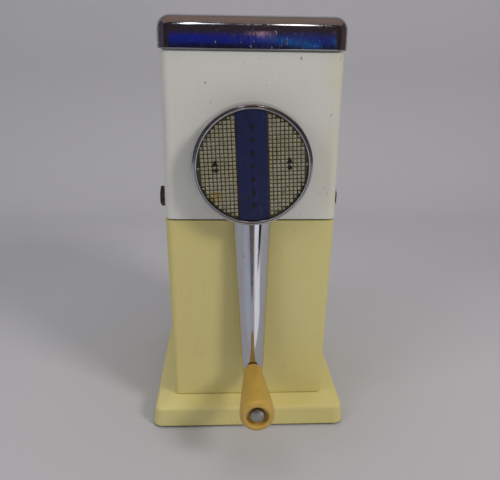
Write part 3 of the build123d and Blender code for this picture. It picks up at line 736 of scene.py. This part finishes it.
def build_crank():
    dish = [(5.9, 2.25), (33.0, 2.25)]
    dish += arc(33.2, 3.05, 0.8, -90, 0, 5)
    dish += [(33.95, 4.6), (33.6, 7.2), (33.2, 9.6)]
    dish += arc(32.6, 9.75, 0.6, 0, 90, 5)
    dish += [(32.0, 10.45), (26.6, 10.45), (26.6, 6.25), (5.9, 6.25)]
    hub = lathe("hub", dish, (0, 0), 180, True, (MAT["chrome"],), 40)
    # arm: D section with a softly crowned front, rounded end round the spindle
    rings = []
    ls = [30.5 + (124.8 - 30.5) * i / 40 for i in range(41)]
    NS = 36

    def section(l, w, pf, pb, dl=0.0):
        hw = w / 2
        cr = min(5.2, hw * 0.66)
        pts = []
        side = pf - cr
        pts.append((-hw + 1.0, pb))
        pts.append((-hw + 0.25, pb + 0.35))
        pts.append((-hw, pb + 1.1))
        pts.append((-hw, max(pb + 1.2, (pb + side) / 2)))
        for i in range(NS + 1):
            a = -math.pi / 2 + math.pi * i / NS
            s = math.sin(a)
            pts.append((s * hw, side + cr * max(0.0, 1 - abs(s) ** 2.05) ** 0.62))
        pts.append((hw, max(pb + 1.2, (pb + side) / 2)))
        pts.append((hw, pb + 1.1))
        pts.append((hw - 0.25, pb + 0.35))
        pts.append((hw - 1.0, pb))
        return [world(a, -l, p) * 1000 for a, p in pts]
    for l in ls:
        rings.append(section(l, arm_w(l), arm_f(l), arm_b(l)))
    # rounded end
    R = arm_w(124.8) / 2
    for i in range(1, 13):
        a = math.radians(90 * i / 12.5)
        l = 124.8 + R * math.sin(a)
        w = 2 * R * math.cos(a)
        rings.append(section(l, max(w, 0.6), arm_f(124.8) - 0.9 * (1 - math.cos(a)), arm_b(124.8)))
    arm = skin_rings("arm", rings, True, True, (MAT["chrome"],), 42)
    o = join([hub, arm], "crank_casting")
    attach(o, "crank")
    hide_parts("crank_arm")
    return o


build_crank()


# ------------------------------------------------------------------ knob, turned, with a recess for the head of its spindle
def build_knob():
    prof = [(3.1, 16.15), (5.0, 16.15)]
    prof += arc(5.0, 16.9, 0.75, -90, -8, 4)
    pts = [(5.85, 19.0), (6.05, 22.0), (6.6, 27.0), (7.25, 33.0), (7.9, 39.5), (8.5, 46.0), (9.05, 52.0), (9.3, 56.0), (9.38, 58.4)]
    prof += pts
    for i in range(1, 11):
        a = math.radians(90 * i / 10)
        prof.append((6.9 + 2.48 * math.cos(a), 58.7 + 3.15 * math.sin(a)))
    prof += [(6.5, 61.82), (6.15, 61.68), (5.95, 61.4), (5.88, 60.9), (5.88, 58.95), (3.1, 58.95)]
    o = lathe("knob_turned", prof, (0, -CL), 120, True, (MAT["amber"],), 38)
    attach(o, "knob")
    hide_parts("knob")
    return o


build_knob()

# ------------------------------------------------------------------ lid: drawn sheet with a large rolled top edge
def build_lid():
    Z0, Z1 = 227.8, 245.2
    LX, LY = 51.5, 58.5
    N = 14
    rings = []

    def ring(inset, z, r):
        pts = rrect(LX - inset, LY - inset, max(r, 0.35), N)
        return [(x, y, z) for x, y in pts]
    # inside, from the lip up
    T = 1.2
    inner = []
    for i in range(11):
        a = math.radians(90 * i / 10)
        ins = T + 5.8 * (1 - math.cos(a))
        inner.append(ring(ins, Z1 - 7.0 + 5.8 * math.sin(a), 7.5 - ins))
    rings += list(reversed(inner))
    rings.append(ring(T, Z0 + 0.5, 7.5 - T))
    rings.append(ring(T - 0.15, Z0 + 0.1, 7.5 - T))
    rings.append(ring(0.6, Z0, 6.9))
    rings.append(ring(0.05, Z0 + 0.05, 7.45))
    rings.append(ring(0.0, Z0 + 0.16, 7.5))
    rings.append(ring(0.0, Z0 + 0.22, 7.5))
    # the front face is very slightly bellied, as drawn sheet is
    for i in range(1, 9):
        f = i / 8
        rings.append(ring(0.03 * f * f, Z0 + 0.16 + (Z1 - 7.3 - Z0 - 0.16) * f, 7.5))
    for i in range(1, 21):
        a = math.radians(90 * i / 20)
        ins = 0.03 + 6.97 * (1 - math.cos(a))
        rings.append(ring(ins, Z1 - 7.3 + 7.3 * math.sin(a), max(7.5 - ins, 0.5)))
    o = skin_rings("lid_drawn", rings, True, True, (MAT["lid"],), 28)
    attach(o, "lid")
    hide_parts("lid")
    return o


build_lid()

# ------------------------------------------------------------------ stage, light and camera
scene = bpy.context.scene


def stage_mat(name, col, rough=0.8, bump=0.0):
    m = M(name, col, rough)
    m.tint(m.range(m.noise(3, 2, 0.5), 0.4, 0.7), tuple(c * 0.96 for c in col), 0.6)
    m.height(m.noise(700, 3, 0.6), 1.0)
    return m.done(bump, 0.0006)


floor_col = srgb(196, 195, 199)
rows = [(-1.6, 0.0), (-0.2, 0.0), (0.42, 0.0)]
for i in range(1, 13):
    a = math.radians(90 * i / 12)
    rows.append((0.42 + 0.22 * math.sin(a), 0.22 - 0.22 * math.cos(a)))
rows.append((0.64, 1.9))
vs, fs = [], []
for y, z in rows:
    vs += [(-2.2, y, z), (2.2, y, z)]
for i in range(len(rows) - 1):
    fs.append((2 * i, 2 * i + 1, 2 * i + 3, 2 * i + 2))
bd = obj_from("backdrop", vs, fs, mats=(stage_mat("backdrop_mat", floor_col, 0.85, 0.15),))


def card(name, centre, normal, w, h, color, emit=0.0):
    me = bpy.data.meshes.new(name)
    me.from_pydata([(-w / 2, -h / 2, 0), (w / 2, -h / 2, 0), (w / 2, h / 2, 0), (-w / 2, h / 2, 0)], [], [(0, 1, 2, 3)])
    o = bpy.data.objects.new(name, me)
    o.matrix_world = Matrix.Translation(centre) @ Vector(normal).to_track_quat("Z", "Y").to_matrix().to_4x4()
    m = M(name + "_mat", color, 0.9)
    if emit:
        m.b.inputs["Emission Color"].default_value = (*color, 1)
        m.b.inputs["Emission Strength"].default_value = emit
    me.materials.append(m.done())
    scene.collection.objects.link(o)
    o.visible_camera = False
    o.visible_diffuse = False
    o.visible_shadow = False
    return o


# what stands in front of the chrome: a dim room, a blue panel, two lamps and a dark patch on the floor
card("card_front", (0.0, -1.30, 0.75), (0, 1, -0.05), 3.6, 1.35, srgb(52, 42, 46), 0.5)
card("card_ceiling", (0.0, -0.2, 1.62), (0, 0.0, -1), 4.2, 3.4, srgb(138, 118, 108), 0.60)
card("card_left", (-1.9, -0.4, 0.75), (1, 0, 0), 3.0, 1.7, srgb(84, 80, 92), 0.45)
card("card_right", (1.9, -0.4, 0.75), (-1, 0, 0), 3.0, 1.7, srgb(88, 72, 76), 0.45)


def poly_card(name, pts, color, emit):
    me = bpy.data.meshes.new(name)
    me.from_pydata(pts, [], [tuple(range(len(pts)))])
    o = bpy.data.objects.new(name, me)
    m = M(name + "_mat", color, 0.9)
    m.b.inputs["Emission Color"].default_value = (*color, 1)
    m.b.inputs["Emission Strength"].default_value = emit
    me.materials.append(m.done())
    scene.collection.objects.link(o)
    o.visible_camera = False
    o.visible_diffuse = False
    o.visible_shadow = False
    return o


# a blue panel with rounded ends, a lighter swirl in its right half, and a dark strip below it
poly_card("card_blue", [(-0.245, -0.95, 0.262), (-0.252, -0.95, 0.275), (-0.248, -0.95, 0.290), (-0.232, -0.95, 0.293), (0.30, -0.95, 0.290), (0.33, -0.95, 0.285), (0.32, -0.95, 0.274), (0.30, -0.95, 0.271), (-0.236, -0.95, 0.2695)], srgb(20, 34, 132), 0.62)
poly_card("card_swirl", [(0.055, -0.948, 0.2835), (0.12, -0.948, 0.2845), (0.185, -0.948, 0.279), (0.235, -0.948, 0.268), (0.225, -0.948, 0.2615), (0.185, -0.948, 0.264), (0.12, -0.948, 0.274)], srgb(34, 104, 176), 0.55)
poly_card("card_swirl2", [(0.250, -0.948, 0.284), (0.285, -0.948, 0.280), (0.300, -0.948, 0.262), (0.290, -0.948, 0.262), (0.276, -0.948, 0.275)], srgb(60, 132, 176), 0.6)
poly_card("card_under", [(-0.34, -0.952, 0.2), (-0.34, -0.952, 0.2700), (0.34, -0.952, 0.2700), (0.34, -0.952, 0.2)], srgb(26, 24, 34), 0.3)
poly_card("card_pink", [(0.02, -0.947, 0.296), (0.075, -0.947, 0.300), (0.11, -0.947, 0.294), (0.06, -0.947, 0.2905)], srgb(196, 150, 160), 0.7)
# lamps seen in the lid's rounded edge and in the rim of the dial
poly_card("lamp_left", [(-0.165, -0.95, 0.80), (-0.172, -0.95, 0.90), (-0.160, -0.95, 1.10), (-0.140, -0.95, 1.16), (-0.122, -0.95, 1.08), (-0.104, -0.95, 0.95), (-0.02, -0.95, 0.905), (-0.104, -0.95, 0.85), (-0.122, -0.95, 0.81), (-0.140, -0.95, 0.77)], (0.82, 0.88, 1.0), 3.0)
poly_card("lamp_right", [(0.112, -0.95, 0.89), (0.16, -0.95, 1.04), (0.21, -0.95, 1.09), (0.250, -0.95, 1.02), (0.262, -0.95, 0.87), (0.22, -0.95, 0.82), (0.15, -0.95, 0.85)], (1.0, 0.93, 0.88), 3.2)
# what lies before the machine, seen down the length of the crank arm: a dark gap between two pale boards
poly_card("floor_dark", [(-0.030, -0.36, 0.002), (0.030, -0.36, 0.002), (0.33, -1.9, 0.002), (-0.30, -1.9, 0.002)], srgb(106, 98, 98), 0.22)
poly_card("floor_pale_r", [(0.035, -0.20, 0.0025), (0.16, -0.20, 0.0025), (1.05, -1.9, 0.0025), (0.335, -1.9, 0.0025)], srgb(226, 228, 234), 0.42)
poly_card("floor_pale_l", [(-0.035, -0.20, 0.0025), (-0.16, -0.20, 0.0025), (-0.9, -1.9, 0.0025), (-0.305, -1.9, 0.0025)], srgb(170, 176, 190), 0.32)
poly_card("floor_dark2", [(0.165, -0.42, 0.003), (0.235, -0.42, 0.003), (1.9, -1.9, 0.003), (1.06, -1.9, 0.003)], srgb(22, 20, 24), 0.1)


def area(name, loc, target, size, energy, color=(1, 1, 1), size_y=None):
    d = bpy.data.lights.new(name, "AREA")
    d.energy = energy
    d.color = color
    d.shape = "RECTANGLE"
    d.size = size
    d.size_y = size_y or size
    o = bpy.data.objects.new(name, d)
    o.location = loc
    o.rotation_euler = (Vector(target) - Vector(loc)).to_track_quat("-Z", "Y").to_euler()
    scene.collection.objects.link(o)
    o.visible_glossy = False
    return o


area("top_soft", (-0.05, -0.15, 1.15), (0, 0, 0.1), 1.2, 4.9, (1.0, 0.985, 0.96))
area("left_soft", (-0.95, -0.75, 0.75), (0, 0, 0.14), 0.6, 3.1, (0.97, 0.98, 1.0))
area("right_soft", (0.85, -0.85, 0.95), (0, 0, 0.12), 0.34, 7.4, (1.0, 0.97, 0.94))

w = bpy.data.worlds.new("studio")
scene.world = w
w.use_nodes = True
bg = w.node_tree.nodes["Background"]
bg.inputs["Color"].default_value = (0.55, 0.56, 0.60, 1)
bg.inputs["Strength"].default_value = 0.22

scene.view_settings.view_transform = "Standard"

# camera
f_px, pitch, yaw, roll = 540.42, math.radians(17.63), math.radians(2.93), math.radians(0.76)
fwd = Vector((math.sin(yaw) * math.cos(pitch), math.cos(yaw) * math.cos(pitch), -math.sin(pitch)))
right = Vector((math.cos(yaw), -math.sin(yaw), 0))
up = right.cross(fwd)
R = right * math.cos(roll) + up * math.sin(roll)
U = up * math.cos(roll) - right * math.sin(roll)
cd = bpy.data.cameras.new("camera")
cd.sensor_width = 36.0
cd.lens = f_px / 500.0 * 36.0
cd.clip_start = 0.01
cam = bpy.data.objects.new("camera", cd)
mw = Matrix.Identity(4)
mw.col[0] = (*R, 0)
mw.col[1] = (*U, 0)
mw.col[2] = (*(-fwd), 0)
mw.col[3] = (-0.01592, -0.057 - 0.30475, 0.21816, 1)
cam.matrix_world = mw
scene.collection.objects.link(cam)
scene.camera = cam
